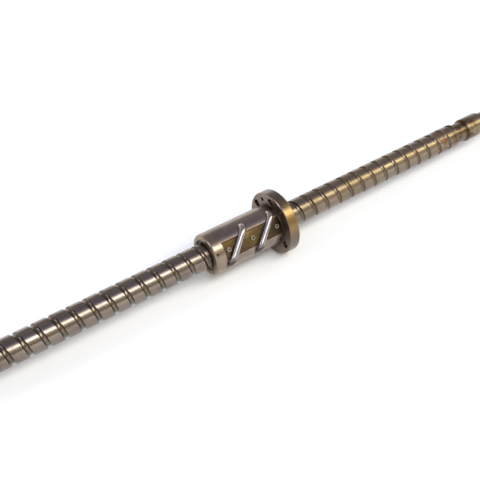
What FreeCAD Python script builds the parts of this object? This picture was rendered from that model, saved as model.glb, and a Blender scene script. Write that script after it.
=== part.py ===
import FreeCAD, Part
import math
import os
import re
import Sketcher

V = FreeCAD.Vector

# Ball screw with a flanged nut whose balls come back through two outside tubes.
# Millimetres and degrees.  +X runs along the screw, +Z is up, and the origin lies
# on the axis in the flange's seating face.  The nut is drawn with its flat facing +Z;
# every piece is then turned about X by flat_turn.

SIZES = {
    # thread and balls
    "lead": 20,
    "screw_od": 31.2,
    "ball_d": 5.556,
    "ball_rise": 0.7,
    "ball_gap": 0.3,
    "ball_space": 0.2,
    "chords": 16,
    "groove_side": 62,
    "thread_left": -354,
    "thread_right": 317,
    # turned ends of the screw
    "neck_d": 26,
    "neck_len": 20,
    "collar_len": 32,
    "journal_d": 25,
    "journal_len": 40,
    "end_chamfer": 1.2,
    # nut
    "nut_od": 51,
    "nut_end": 13.5,
    "nut_chamfer": 1.5,
    "bore_gap": 0.5,
    "flange_od": 80,
    "flange_t": 13,
    "flange_chamfer": 1,
    "bolt_d": 9,
    "bolt_circle": 63,
    "bolt_angle": 30,
    "grease_d": 5,
    "grease_depth": 10,
    "flat_turn": 55,
    "flat_wall": 4.9,
    "flat_width": 20.8,
    "flat_end": 1.5,
    "flat_beyond": 4.1,
    # ball circuits and return tubes
    "circuits": 2,
    "circuit_turns": 1.5,
    "circuit_leads": 2,
    "circuit_x": -8.4,
    "ball_play": 0.444,
    "tube_wall": 1,
    "tube_fit": 0.1,
    "bend_r": 8,
    "bend_chords": 3,
    "tube_sides": 12,
    "tube_bore_sides": 6,
    "pickup_gap": 0.7,
    # tube clamps
    "clamp_t": 2.2,
    "clamp_gap": 0.2,
    "clamp_screw_d": 3,
    "clamp_head_d": 5.6,
    "clamp_head": 2.4,
    "clamp_shank": 5,
    "screw_sides": 10,
    "tap_spare": 0.5,
    "socket_d": 2.3,
    "socket_depth": 1.2,
    "clamp_1_off": 12.6,
    "clamp_2_off": 18.6,
    "clamp_3_off": 16.4,
    # wipers
    "wiper_pocket_d": 39,
    "wiper_pocket": 7.5,
    "wiper_inset": 1,
    "wiper_sides": 20,
    "running_gap": 0.3,
    "grub_d": 3,
    "grub_gap": 0.8,
    "grub_sink": 1.2,
    "grub_from_end": 4.3,
}

# Sizes that follow from others.  The flat reaches a little past the last tube leg, and the nut past the flat.
FOLLOWING = {
    "ball_circle_r": "screw_od / 2 + ball_rise",
    "ball_pitch": "ball_d + ball_space",
    "tube_bore": "ball_d + ball_play",
    "tube_d": "tube_bore + 2 * tube_wall",
    "tip_height": "sqrt((screw_od / 2 + pickup_gap) ^ 2 - (ball_circle_r - tube_d / 2) ^ 2)",
    "flat_height": "screw_od / 2 + bore_gap + flat_wall",
    "circuit_len": "circuit_turns * lead",
    "circuit_step": "circuit_leads * lead",
    "last_leg_x": "circuit_x - (circuits - 1) * circuit_step - circuit_len",
    "flat_len": "-last_leg_x + flat_beyond - flat_end",
    "nut_len": "flat_end + flat_len + nut_end",
    "plate_top": "flat_height + clamp_t",
    "tap_depth": "clamp_shank - clamp_t + tap_spare",
    "clamp_1_x": "last_leg_x + circuit_len / 2 - clamp_1_off",
    "clamp_2_x": "circuit_x - circuit_len / 2 - clamp_2_off",
    "clamp_3_x": "circuit_x - circuit_len / 2 + clamp_3_off",
    "wiper_t": "wiper_pocket - wiper_inset - running_gap",
    "grub_len": "nut_od / 2 - grub_sink - wiper_pocket_d / 2 - grub_gap",
}

doc = FreeCAD.newDocument("ball_screw")
sheet = doc.addObject("Spreadsheet::Sheet", "Sizes")
cells = {alias: str(number) for alias, number in SIZES.items()}
cells.update({alias: "=" + formula for alias, formula in FOLLOWING.items()})
for row, (alias, text) in enumerate(cells.items(), 1):
    sheet.set("A%d" % row, alias)
    sheet.setAlias("B%d" % row, alias)
    sheet.set("B%d" % row, text)
doc.recompute()


def size(alias):
    """A size as the sheet holds it."""
    return float(sheet.get(alias))


def sized(formula):
    """Put the sheet's name in front of every size named in a formula."""
    return re.sub(r"[a-z][a-z0-9_]*", lambda m: "Sizes." + m[0] if m[0] in cells else m[0], formula)


def bind(obj, **fields):
    """Tie properties of an object to formulas over the sheet's names."""
    for field, formula in fields.items():
        obj.setExpression(field, sized(formula))
    return obj


def set_at(obj, x="0", y="0", z="0"):
    """Tie the place of an object to three formulas."""
    for letter, formula in zip("xyz", (x, y, z)):
        obj.setExpression(".Placement.Base." + letter, sized(formula))
    return obj


pieces = []


def piece(obj, label):
    """Name a finished piece, turn it the way the nut lies and keep it for the export."""
    obj.Label = label
    obj.Placement = FreeCAD.Placement(V(0, 0, 0), FreeCAD.Rotation(V(1, 0, 0), 1))
    obj.setExpression(".Placement.Rotation.Angle", "Sizes.flat_turn * 1 deg")
    pieces.append(obj)
    return obj


def cylinder(name, radius, length, along="z", **place):
    """A cylinder standing along z or lying along x from its place."""
    obj = doc.addObject("Part::Cylinder", name)
    if along == "x":
        obj.Placement = FreeCAD.Placement(V(0, 0, 0), FreeCAD.Rotation(V(0, 1, 0), 90))
    bind(obj, Radius=radius, Height=length)
    return set_at(obj, **place)


def prism(name, sides, radius, length, along="z", **place):
    """A many-sided rod with its corners at a radius."""
    obj = doc.addObject("Part::Prism", name)
    if along == "x":
        obj.Placement = FreeCAD.Placement(V(0, 0, 0), FreeCAD.Rotation(V(0, 1, 0), 90))
    bind(obj, Polygon=sides, Circumradius=radius, Height=length)
    return set_at(obj, **place)


def clear_of(radius, sides):
    """Corner radius of a many-sided hole that lets a round of this radius through."""
    return "(%s) / cos(180 deg / %s)" % (radius, sides)


def joined(kind, name, shapes):
    """Several objects fused, or the first one less the others."""
    if kind == "Cut":
        obj = doc.addObject("Part::Cut", name)
        obj.Base = shapes[0]
        obj.Tool = shapes[1]
        if len(shapes) > 2:
            obj.Tool = joined("MultiFuse", name + "_cutters", shapes[1:])
        return obj
    obj = doc.addObject("Part::" + kind, name)
    obj.Shapes = shapes
    return obj


def outline(body, name, corners, height="0"):
    """A closed sketch in a body's XY plane; its corners are pairs of formulas."""
    sketch = body.newObject("Sketcher::SketchObject", name + "_outline")
    plane = [part for part in body.Origin.OriginFeatures if part.Role == "XY_Plane"][0]
    sketch.AttachmentSupport = (plane, "")
    sketch.MapMode = "FlatFace"
    sketch.setExpression("AttachmentOffset.Base.z", sized(height))
    count = len(corners)
    step = 2 * math.pi / count
    ring = [V(count * math.cos(i * step), count * math.sin(i * step), 0) for i in range(count)]
    for i in range(count):
        sketch.addGeometry(Part.LineSegment(ring[i], ring[(i + 1) % count]))
    for i in range(count):
        sketch.addConstraint(Sketcher.Constraint("Coincident", i, 2, (i + 1) % count, 1))
    for i, corner in enumerate(corners):
        for kind, formula, start in zip(("DistanceX", "DistanceY"), corner, ring[i]):
            index = sketch.addConstraint(Sketcher.Constraint(kind, -1, 1, i, 1, start))
            sketch.setExpression("Constraints[%d]" % index, sized(formula))
    return sketch


def turned(name, corners):
    """A body of revolution about X from (x, radius) corners."""
    body = doc.addObject("PartDesign::Body", name)
    sketch = outline(body, name, corners)
    spun = body.newObject("PartDesign::Revolution", name + "_spun")
    spun.Profile = sketch
    spun.ReferenceAxis = (sketch, ["H_Axis"])
    spun.Angle = 360
    return body


def plate(name, corners, height, thickness):
    """A flat plate from (x, y) corners, standing at a height."""
    body = doc.addObject("PartDesign::Body", name)
    sketch = outline(body, name, corners, height)
    pad = body.newObject("PartDesign::Pad", name + "_pad")
    pad.Profile = sketch
    bind(pad, Length=thickness)
    return body


# Curved runs that repeat are made of straight chords with flat faces between them.


def around(x, radius, angle):
    """A point at an angle about X, counted in degrees from +Y towards +Z."""
    return V(x, radius * math.cos(math.radians(angle)), radius * math.sin(math.radians(angle)))


def flat_face(corners):
    return Part.Face(Part.makePolygon(corners + corners[:1]))


def panel(a, b, c, d):
    """One flat face for four corners in a plane, otherwise two triangles."""
    normal = (b - a).cross(d - a).normalize()
    if abs(normal.dot(c - a)) < 1e-6:
        return [flat_face([a, b, c, d])]
    return [flat_face([a, b, c]), flat_face([a, c, d])]


def closed_solid(faces):
    """Sew faces that close on each other into a solid."""
    shell = Part.Shell(faces)
    shell.sewShape()
    solid = Part.Solid(shell)
    if solid.Volume < 0:
        solid.reverse()
    return solid


def skin(rings):
    """A solid through a row of rings with the same number of corners."""
    faces = [flat_face(rings[0]), flat_face(rings[-1])]
    for near, far in zip(rings, rings[1:]):
        for i in range(len(near)):
            faces += panel(near[i - 1], near[i], far[i], far[i - 1])
    return closed_solid(faces)


def feature(name, shape):
    obj = doc.addObject("Part::Feature", name)
    obj.Shape = shape
    return obj


lead = size("lead")
chords = int(size("chords"))
ball_r = size("ball_d") / 2
circle_r = size("ball_circle_r")
side = math.radians(size("groove_side"))


def groove_half_width(radius, height):
    """Half width of a ball groove whose sides lie at a radius from the ball's centre."""
    return (radius + height * math.cos(side)) / math.sin(side)


# Screw.  The groove's sides and floor touch a circle a little larger than the ball.
# A column of corners along X is drawn at each chord's angle and moves on by its share of the lead.

screw_r = size("screw_od") / 2
groove_r = ball_r + size("ball_gap")
floor_r = circle_r - groove_r
half_top = groove_half_width(groove_r, screw_r - circle_r)
half_floor = groove_half_width(groove_r, -groove_r)
one_lead = [
    (half_top, screw_r),
    (lead - half_top, screw_r),
    (lead - half_floor, floor_r),
    (lead + half_floor, floor_r),
]
first_turn = math.floor((size("thread_left") - size("circuit_x")) / lead) - 2
last_turn = math.ceil((size("thread_right") - size("circuit_x")) / lead) + 1


def thread_column(step):
    """Corners along the thread at one chord's angle."""
    start = size("circuit_x") + lead * step / chords
    angle = 360 * step / chords
    corners = []
    for turn in range(first_turn, last_turn):
        for x, radius in one_lead:
            corners.append(around(start + turn * lead + x, radius, angle))
    corners.append(around(start + last_turn * lead + half_top, screw_r, angle))
    return corners


columns = [thread_column(step) for step in range(chords + 1)]
thread_faces = []
for near, far in zip(columns, columns[1:]):
    for i in range(len(near) - 1):
        thread_faces += panel(near[i], near[i + 1], far[i + 1], far[i])
    for end in (0, -1):
        near_axis = V(near[end].x, 0, 0)
        far_axis = V(far[end].x, 0, 0)
        thread_faces.append(flat_face([near_axis, near[end], far[end]]))
        thread_faces.append(flat_face([near_axis, far[end], far_axis]))
for step_corners in (columns[0][:5], columns[-1][-5:]):
    low_axis = V(step_corners[0].x, 0, 0)
    high_axis = V(step_corners[-1].x, 0, 0)
    thread_faces.append(flat_face([low_axis] + step_corners + [high_axis]))

thread_length = size("thread_right") - size("thread_left")
thread_start = V(size("thread_left"), 0, 0)
between_ends = Part.makeCylinder(2 * screw_r, thread_length, thread_start, V(1, 0, 0))
thread = feature("thread", closed_solid(thread_faces).common(between_ends))

right_end = turned("right_end", [
    ("thread_right", "0"),
    ("thread_right", "neck_d / 2"),
    ("thread_right + neck_len", "neck_d / 2"),
    ("thread_right + neck_len", "screw_od / 2"),
    ("thread_right + neck_len + collar_len", "screw_od / 2"),
    ("thread_right + neck_len + collar_len", "journal_d / 2"),
    ("thread_right + neck_len + collar_len + journal_len - end_chamfer", "journal_d / 2"),
    ("thread_right + neck_len + collar_len + journal_len", "journal_d / 2 - end_chamfer"),
    ("thread_right + neck_len + collar_len + journal_len", "0"),
])
left_end = turned("left_end", [
    ("thread_left", "0"),
    ("thread_left", "journal_d / 2"),
    ("thread_left - journal_len + end_chamfer", "journal_d / 2"),
    ("thread_left - journal_len", "journal_d / 2 - end_chamfer"),
    ("thread_left - journal_len", "0"),
])
piece(joined("MultiFuse", "screw_shaft", [thread, left_end, right_end]), "screw_shaft")

# Return tube path: two legs, two bends and a slanted run lying on the flat's floor.


tip_height = size("tip_height")
circuit_count = int(size("circuits"))


def tube_path(number):
    """Corners of a tube's middle line from one leg's tip to the other."""
    end_x = size("circuit_x") - number * size("circuit_step")
    near = V(end_x, circle_r, 0)
    far = V(end_x - size("circuit_len"), -circle_r, 0)
    along = (far - near).normalize()
    up = V(0, 0, 1)
    bend = size("bend_r")
    bend_low = size("flat_height") + size("tube_d") / 2 - bend
    steps = int(size("bend_chords"))
    rising = [near + up * tip_height]
    falling = [far + up * tip_height]
    for step in range(steps + 1):
        turn = math.pi / 2 * step / steps
        across = bend * (1 - math.cos(turn))
        height = up * (bend_low + bend * math.sin(turn))
        rising.append(near + along * across + height)
        falling.append(far - along * across + height)
    return rising + falling[::-1]


def pipe(path, radius, sides):
    """A many-sided pipe, mitred at every corner of a path that lies in one plane."""
    normal = (path[1] - path[0]).cross(path[-1] - path[0]).normalize()
    runs = [(b - a).normalize() for a, b in zip(path, path[1:])]
    rings = []
    for i, corner in enumerate(path):
        before = runs[max(i - 1, 0)]
        after = runs[min(i, len(runs) - 1)]
        mitre = (before + after).normalize()
        outward = normal.cross(before)
        ring = []
        for k in range(sides):
            turn = 2 * math.pi * k / sides
            offset = normal * (radius * math.cos(turn)) + outward * (radius * math.sin(turn))
            ring.append(corner + offset - before * (offset.dot(mitre) / before.dot(mitre)))
        rings.append(ring)
    return skin(rings)


# Nut.  A turned blank loses the flat, the holes and, for each circuit, a helical race.

NUT_R = "nut_od / 2"
blank = turned("nut_blank", [
    ("-nut_len", "0"),
    ("-nut_len", "nut_od / 2 - nut_chamfer"),
    ("-nut_len + nut_chamfer", NUT_R),
    ("0", NUT_R),
    ("0", "flange_od / 2 - flange_chamfer"),
    ("flange_chamfer", "flange_od / 2"),
    ("flange_t", "flange_od / 2"),
    ("flange_t", "0"),
])
cutters = []
for name, start in (("left_pocket", "-nut_len - 1"), ("right_pocket", "flange_t - wiper_pocket")):
    cutters.append(prism(
        name, "wiper_sides", clear_of("wiper_pocket_d / 2", "wiper_sides"), "wiper_pocket + 1", "x", x=start,
    ))

flat = doc.addObject("Part::Box", "flat_cut")
bind(flat, Length="flat_len", Width="flat_width", Height="nut_od")
set_at(flat, x="-flat_end - flat_len", y="-flat_width / 2", z="flat_height")
cutters.append(flat)

# The bolt holes stand in two pairs on one circle, on either side of the nut, and leave the flat free.
for i, (across, up) in enumerate(((1, 1), (-1, 1), (-1, -1), (1, -1)), 1):
    cutters.append(cylinder(
        "bolt_hole_%d" % i, "bolt_d / 2", "flange_t + 2", "x", x="-1",
        y="%d * bolt_circle / 2 * cos(bolt_angle * 1 deg)" % across,
        z="%d * bolt_circle / 2 * sin(bolt_angle * 1 deg)" % up,
    ))
cutters.append(cylinder(
    "grease_hole", "grease_d / 2", "grease_depth + 1", "x", x="-1", y="bolt_circle / 2",
))


def circuit_middle(number):
    """Where a circuit's return tube crosses the middle of the flat."""
    return "(circuit_x - %d * circuit_step - circuit_len / 2)" % number


tube_sides = int(size("tube_sides"))
way_r = (size("tube_d") / 2 + size("tube_fit")) / math.cos(math.pi / tube_sides)
for number in range(circuit_count):
    cutters.append(feature("tube_way_%d" % (number + 1), pipe(tube_path(number), way_r, tube_sides)))
    for end, sign in (("near", 1), ("far", -1)):
        cutters.append(prism(
            "ball_way_%d_%s" % (number + 1, end), "tube_bore_sides",
            clear_of("tube_bore / 2", "tube_bore_sides"), "tip_height + 1",
            x="%s + %d * circuit_len / 2" % (circuit_middle(number), sign),
            y="%d * ball_circle_r" % sign,
        ))

SHANK_R = "clamp_screw_d / 2"
for i in (1, 2, 3):
    cutters.append(prism(
        "tap_%d" % i, "screw_sides", SHANK_R, "tap_depth",
        x="clamp_%d_x" % i, z="flat_height - tap_depth",
    ))
GRUB_X = "-nut_len + grub_from_end"
cutters.append(prism("grub_hole", "screw_sides", "grub_d / 2", "nut_od", x=GRUB_X, z="nut_od / 4"))

# The bore and its races turn in the same chords as the thread, but outside them:
# a race's floor meets the balls halfway along each chord.

spread = 1 / math.cos(math.pi / chords)
bore_r = (screw_r + size("bore_gap")) * spread
bore_rings = []
for x in (-size("nut_len"), size("flange_t")):
    bore_rings.append([around(x, bore_r, 360 * step / chords) for step in range(chords)])
cutters.append(feature("bore", skin(bore_rings)))

race_low = screw_r - size("bore_gap")
race_top = circle_r + ball_r
race_side = ball_r + size("tube_fit")
race_corners = [
    (-groove_half_width(race_side, circle_r - race_low), race_low),
    (-groove_half_width(race_side, -ball_r), race_top),
    (groove_half_width(race_side, -ball_r), race_top),
    (groove_half_width(race_side, circle_r - race_low), race_low),
]
race_steps = round(size("circuit_turns") * chords)
for number in range(circuit_count):
    end_x = size("circuit_x") - number * size("circuit_step")
    rings = []
    for step in range(race_steps + 1):
        x = end_x - lead * step / chords
        angle = -360 * step / chords
        rings.append([around(x + dx, radius * spread, angle) for dx, radius in race_corners])
    cutters.append(feature("race_%d" % (number + 1), skin(rings)))

piece(joined("Cut", "nut_body", [blank] + cutters), "nut_body")

bore_sides = int(size("tube_bore_sides"))
for number in range(circuit_count):
    path = tube_path(number)
    outside = pipe(path, size("tube_d") / 2, tube_sides)
    inside = pipe(path, size("tube_bore") / 2 / math.cos(math.pi / bore_sides), bore_sides)
    piece(feature("return_tube_%d" % (number + 1), outside.cut(inside)), "return_tube_%d" % (number + 1))

# Balls: eight-faced, one row along each loaded race and back through its tube.


def octahedron(radius):
    """Eight equal triangles with their corners on a sphere."""
    faces = []
    for x in (-radius, radius):
        for y in (-radius, radius):
            for z in (-radius, radius):
                faces.append(flat_face([V(x, 0, 0), V(0, y, 0), V(0, 0, z)]))
    return closed_solid(faces)


ball = octahedron(ball_r)


def set_ball(middle, outward):
    """A ball with one corner pointing outward."""
    placed = ball.copy()
    placed.Placement = FreeCAD.Placement(middle, FreeCAD.Rotation(V(0, 0, 1), outward))
    return placed


turns = size("circuit_turns")
loaded_length = turns * math.hypot(2 * math.pi * circle_r, lead)
loaded = int(loaded_length / size("ball_pitch"))
for number in range(circuit_count):
    end_x = size("circuit_x") - number * size("circuit_step")
    train = []
    for i in range(loaded):
        turn = turns * (i + 0.5) / loaded
        at = around(end_x - lead * turn, circle_r, -360 * turn)
        train.append(set_ball(at, around(0, 1, -360 * turn)))
    way = Part.makePolygon(tube_path(number))
    count = int(way.Length / size("ball_pitch"))
    for at in way.discretize(Number=count + 1):
        train.append(set_ball(at, V(0, 0, 1)))
    piece(feature("ball_train_%d" % (number + 1), Part.Compound(train)), "ball_train_%d" % (number + 1))

# Clamp plates: three plates fill the flat up to the nut's round, beside and between the tubes.

SLOPE = "(circuit_len / 2 / ball_circle_r)"
HALF_PLATE = "(flat_width / 2 - clamp_gap)"
EDGE = "(tube_d / 2 + clamp_gap) * sqrt(1 + %s ^ 2)" % SLOPE


def tube_side(number, sign, across):
    """A plate corner on the line beside a tube."""
    x = "%s + %d * %s + %d * %s * %s" % (circuit_middle(number), sign, EDGE, across, SLOPE, HALF_PLATE)
    return x, "%d * %s" % (across, HALF_PLATE)


def end_corner(x, across):
    """A plate corner at an end of the flat."""
    return x, "%d * %s" % (across, HALF_PLATE)


LEFT = "-flat_end - flat_len + clamp_gap"
RIGHT = "-flat_end - clamp_gap"
CLAMPS = {
    "tube_clamp_left": [
        end_corner(LEFT, -1), end_corner(LEFT, 1), tube_side(1, -1, 1), tube_side(1, -1, -1),
    ],
    "tube_clamp_middle": [
        tube_side(1, 1, -1), tube_side(1, 1, 1), tube_side(0, -1, 1), tube_side(0, -1, -1),
    ],
    "tube_clamp_right": [
        tube_side(0, 1, -1), tube_side(0, 1, 1), end_corner(RIGHT, 1), end_corner(RIGHT, -1),
    ],
}
clamp_screws = []
for i, (label, corners) in enumerate(CLAMPS.items(), 1):
    x = "clamp_%d_x" % i
    full = plate(label + "_full", corners, "flat_height", "clamp_t")
    way = prism(label + "_way", "screw_sides", SHANK_R, "nut_od", x=x)
    piece(joined("Cut", label, [full, way]), label)
    shank = prism("shank_%d" % i, "screw_sides", SHANK_R, "clamp_shank", x=x, z="plate_top - clamp_shank")
    head = prism("head_%d" % i, "screw_sides", "clamp_head_d / 2", "clamp_head", x=x, z="plate_top")
    socket = prism(
        "socket_%d" % i, "6", "socket_d / 2", "clamp_head", x=x,
        z="plate_top + clamp_head - socket_depth",
    )
    solid_screw = joined("MultiFuse", "solid_screw_%d" % i, [shank, head])
    clamp_screws.append(joined("Cut", "clamp_screw_%d" % i, [solid_screw, socket]))
all_screws = doc.addObject("Part::Compound", "clamp_screws")
all_screws.Links = clamp_screws
piece(all_screws, "clamp_screws")

# Wipers, and the grub screw over the left one.

for label, start in (
    ("wiper_left", "-nut_len + wiper_inset"),
    ("wiper_right", "flange_t - wiper_pocket + running_gap"),
):
    ring = prism(label + "_ring", "wiper_sides", "wiper_pocket_d / 2 - running_gap", "wiper_t", "x", x=start)
    hole = prism(
        label + "_hole", "wiper_sides", clear_of("screw_od / 2 + running_gap", "wiper_sides"),
        "wiper_t", "x", x=start,
    )
    piece(joined("Cut", label, [ring, hole]), label)

GRUB_TOP = "nut_od / 2 - grub_sink"
grub = prism("grub", "screw_sides", "grub_d / 2", "grub_len", x=GRUB_X, z=GRUB_TOP + " - grub_len")
grub_socket = prism("grub_socket", "6", "socket_d / 2", "nut_od", x=GRUB_X, z=GRUB_TOP + " - socket_depth")
piece(joined("Cut", "wiper_grub_screw", [grub, grub_socket]), "wiper_grub_screw")

doc.recompute()

for obj in doc.Objects:
    if "Invalid" in obj.State or "Error" in obj.State:
        raise RuntimeError("%s did not compute: %s" % (obj.Name, obj.State))
os.makedirs("parts", exist_ok=True)
for obj in pieces:
    if obj.Shape.isNull() or not obj.Shape.isValid():
        raise RuntimeError("%s has no valid shape" % obj.Label)
    obj.Shape.exportStep("parts/%s.step" % obj.Label)
    print("%-18s %10.1f mm3  %4d faces" % (obj.Label, obj.Shape.Volume, len(obj.Shape.Faces)))
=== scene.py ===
# %% [markdown]
# # A ball screw and its flanged nut
# A ball screw turns rotation into straight travel. Steel balls roll in a helical groove between
# the long screw and the nut, and two bent tubes on the nut's side carry them back to the start.
# The solids of the part come from CAD and stay the frame of everything here. This lesson lays a
# finely made surface over each of them, gives it a worn steel finish, and lights it like the photograph.

# %% Load the frame
import math

import bmesh
import bpy
import numpy as np
from mathutils import Matrix, Vector


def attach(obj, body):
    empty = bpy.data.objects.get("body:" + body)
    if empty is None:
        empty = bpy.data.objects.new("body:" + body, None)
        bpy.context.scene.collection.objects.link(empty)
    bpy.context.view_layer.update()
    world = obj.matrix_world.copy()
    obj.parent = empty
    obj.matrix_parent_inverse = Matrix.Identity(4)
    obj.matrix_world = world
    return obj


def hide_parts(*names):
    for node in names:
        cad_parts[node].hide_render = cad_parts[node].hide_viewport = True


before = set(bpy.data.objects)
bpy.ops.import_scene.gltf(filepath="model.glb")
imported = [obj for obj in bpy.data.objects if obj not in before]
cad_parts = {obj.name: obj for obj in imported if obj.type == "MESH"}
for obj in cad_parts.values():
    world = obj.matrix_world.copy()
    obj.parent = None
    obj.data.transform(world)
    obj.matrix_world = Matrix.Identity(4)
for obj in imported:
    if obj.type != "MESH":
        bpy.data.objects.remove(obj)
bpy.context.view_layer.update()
print("nodes in the frame:", sorted(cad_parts))

# %% [markdown]
# ## One drawing direction for every piece
# The nut lies turned about the screw's axis, so its flat looks forward and up. It is easier to draw
# with the flat facing straight up, in millimetres, and to turn the finished points once. Each piece
# then rides on its CAD body and stands for its CAD node.

# %% Turn, place and dress a piece
FLAT_TURN = math.radians(55)


def into_row(points):
    """Millimetres with the flat facing up become metres in the part's own frame."""
    p = np.asarray(points, float) * 0.001
    c, s = math.cos(FLAT_TURN), math.sin(FLAT_TURN)
    return np.column_stack((p[:, 0], c * p[:, 1] - s * p[:, 2], s * p[:, 1] + c * p[:, 2]))


def mesh_object(name, points, faces):
    """A mesh from points in millimetres, with its faces turned outward."""
    mesh = bpy.data.meshes.new(name)
    mesh.from_pydata(into_row(points).tolist(), [], faces)
    work = bmesh.new()
    work.from_mesh(mesh)
    bmesh.ops.recalc_face_normals(work, faces=work.faces)
    work.to_mesh(mesh)
    work.free()
    obj = bpy.data.objects.new(name, mesh)
    bpy.context.scene.collection.objects.link(obj)
    return obj


def dress(obj, body, node, finish, sharp=32):
    """Smooth a piece except at its corners, give it a finish and tie it to the frame."""
    obj.data.polygons.foreach_set("use_smooth", [True] * len(obj.data.polygons))
    obj.data.set_sharp_from_angle(angle=math.radians(sharp))
    obj.data.materials.clear()
    obj.data.materials.append(finish)
    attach(obj, body)
    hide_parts(node)
    obj.data.calc_loop_triangles()
    print(f"{obj.name}: {len(obj.data.loop_triangles)} triangles stand for {node}")
    return obj


# %% [markdown]
# ## Turned shapes
# Almost everything here came off a lathe. A list of (distance along the axis, radius) corners spun
# about X gives such a shape. A real edge is never perfectly sharp: it is broken a little, and that
# small round is what catches the light, so the corners of each turned piece are eased before spinning.
# A support point just beyond each round keeps the smooth shading inside it: without one, the round
# would tilt the shading of the whole long face beside it.

# %% Ease corners and spin them
SUPPORT = 1.7


def eased(corners, amount, closed=False, parts=3):
    """Round each corner of a row of (x, radius) corners by a small amount."""
    out = []
    count = len(corners)
    for i, corner in enumerate(corners):
        here = Vector(corner)
        if not closed and i in (0, count - 1):
            out.append(tuple(here))
            continue
        back = Vector(corners[i - 1]) - here
        on = Vector(corners[(i + 1) % count]) - here
        reach = min(amount, back.length / 4, on.length / 4)
        back.normalize()
        on.normalize()
        out.append(tuple(here + back * reach * SUPPORT))
        for k in range(parts + 1):
            t = k / parts
            out.append(tuple(here + back * (reach * (1 - t) ** 2) + on * (reach * t ** 2)))
        out.append(tuple(here + on * reach * SUPPORT))
    return out


def spun(corners, steps=160, closed=False):
    """Points and faces of (x, radius) corners spun about X."""
    points, faces = [], []
    for k in range(steps):
        turn = 2 * math.pi * k / steps
        points += [(x, r * math.cos(turn), r * math.sin(turn)) for x, r in corners]
    count = len(corners)
    for k in range(steps):
        a, b = k * count, (k + 1) % steps * count
        for i in range(count if closed else count - 1):
            j = (i + 1) % count
            faces.append((a + i, a + j, b + j, b + i))
    return points, faces


def welded(obj, distance=1e-7):
    """Join points that lie on each other, such as those spun on the axis."""
    work = bmesh.new()
    work.from_mesh(obj.data)
    bmesh.ops.remove_doubles(work, verts=work.verts, dist=distance)
    bmesh.ops.recalc_face_normals(work, faces=work.faces)
    work.to_mesh(obj.data)
    work.free()
    return obj


print("an eased square edge has", len(eased([(0, 0), (0, 5), (5, 5), (5, 0)], 0.3)), "corners")

# %% [markdown]
# ## A small kit for finishes
# The finishes are node trees. Short helpers keep them readable: one adds a node and fills its sockets,
# one turns a stretch of a value into a soft 0 to 1 mask, and others mix colours, make noise or measure
# a distance. The last two start a finish and connect what was worked out to its shader. All patterns
# use the object's own coordinates, so they stay on the steel when the screw turns.

# %% Node helpers
def put(tree, kind, inputs=None, **settings):
    """Add a node; each input takes a plain value or another node's socket."""
    node = tree.nodes.new("ShaderNode" + kind)
    for name, value in settings.items():
        setattr(node, name, value)
    for key, value in (inputs or {}).items():
        if isinstance(value, bpy.types.NodeSocket):
            tree.links.new(value, node.inputs[key])
        else:
            node.inputs[key].default_value = value
    return node


def mask(tree, value, low, high):
    """0 below low, 1 above high, soft between; high may be the lower one."""
    return put(tree, "MapRange", {0: value, 1: low, 2: high}, interpolation_type="SMOOTHSTEP").outputs[0]


def both(tree, a, b, how="MULTIPLY"):
    """Two values put together, multiplied unless told otherwise."""
    return put(tree, "Math", {0: a, 1: b}, operation=how).outputs[0]


def tinted(tree, factor, a, b):
    """Colour a where the factor is 0, colour b where it is 1."""
    return put(tree, "Mix", {0: factor, 6: a, 7: b}, data_type="RGBA").outputs[2]


def speckle(tree, where, scale, detail=4.0, rough=0.55, stretch=None):
    """A noise value; stretch squeezes it along some axes."""
    if stretch:
        where = put(tree, "VectorMath", {0: where, 1: stretch}, operation="MULTIPLY").outputs[0]
    noise = put(tree, "TexNoise", {"Vector": where, "Scale": scale, "Detail": detail, "Roughness": rough})
    return noise.outputs[0]


def from_axis(tree, where):
    """Distance from the screw's axis, in metres."""
    flattened = put(tree, "VectorMath", {0: where, 1: (0, 1, 1)}, operation="MULTIPLY").outputs[0]
    return put(tree, "VectorMath", {0: flattened}, operation="LENGTH").outputs["Value"]


def across_flat(tree, where):
    """Metres across the nut's flat, counted up from its middle line."""
    across = (0, math.cos(FLAT_TURN), math.sin(FLAT_TURN))
    return put(tree, "VectorMath", {0: where, 1: across}, operation="DOT_PRODUCT").outputs["Value"]


def along_axis(tree, where):
    """Metres along the screw's axis."""
    return put(tree, "SeparateXYZ", {0: where}).outputs[0]


def from_spots(tree, where, spots):
    """Distance in metres to the nearest of some spots, which are drawn in millimetres."""
    nearest = 1.0
    for spot in into_row(spots).tolist():
        away = put(tree, "VectorMath", {0: where, 1: spot}, operation="DISTANCE").outputs["Value"]
        nearest = both(tree, away, nearest, "MINIMUM")
    return nearest


def new_finish(name, metallic, **constants):
    """An empty finish: its material, node tree, shader and object coordinates."""
    material = bpy.data.materials.new(name)
    material.use_nodes = True
    tree = material.node_tree
    shader = tree.nodes["Principled BSDF"]
    shader.inputs["Metallic"].default_value = metallic
    for key, value in constants.items():
        shader.inputs[key].default_value = value
    return material, tree, shader, put(tree, "TexCoord").outputs["Object"]


def connect(tree, shader, colour=None, roughness=None, height=None, strength=0.2, depth=0.0001):
    """Send the worked-out colour, roughness and surface height to the shader."""
    if colour is not None:
        tree.links.new(colour, shader.inputs["Base Color"])
    if roughness is not None:
        tree.links.new(roughness, shader.inputs["Roughness"])
    if height is not None:
        bump = put(tree, "Bump", {"Height": height, "Strength": strength, "Distance": depth})
        tree.links.new(bump.outputs[0], shader.inputs["Normal"])


print("helpers for finishes: put, mask, both, tinted, speckle and connect")

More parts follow.
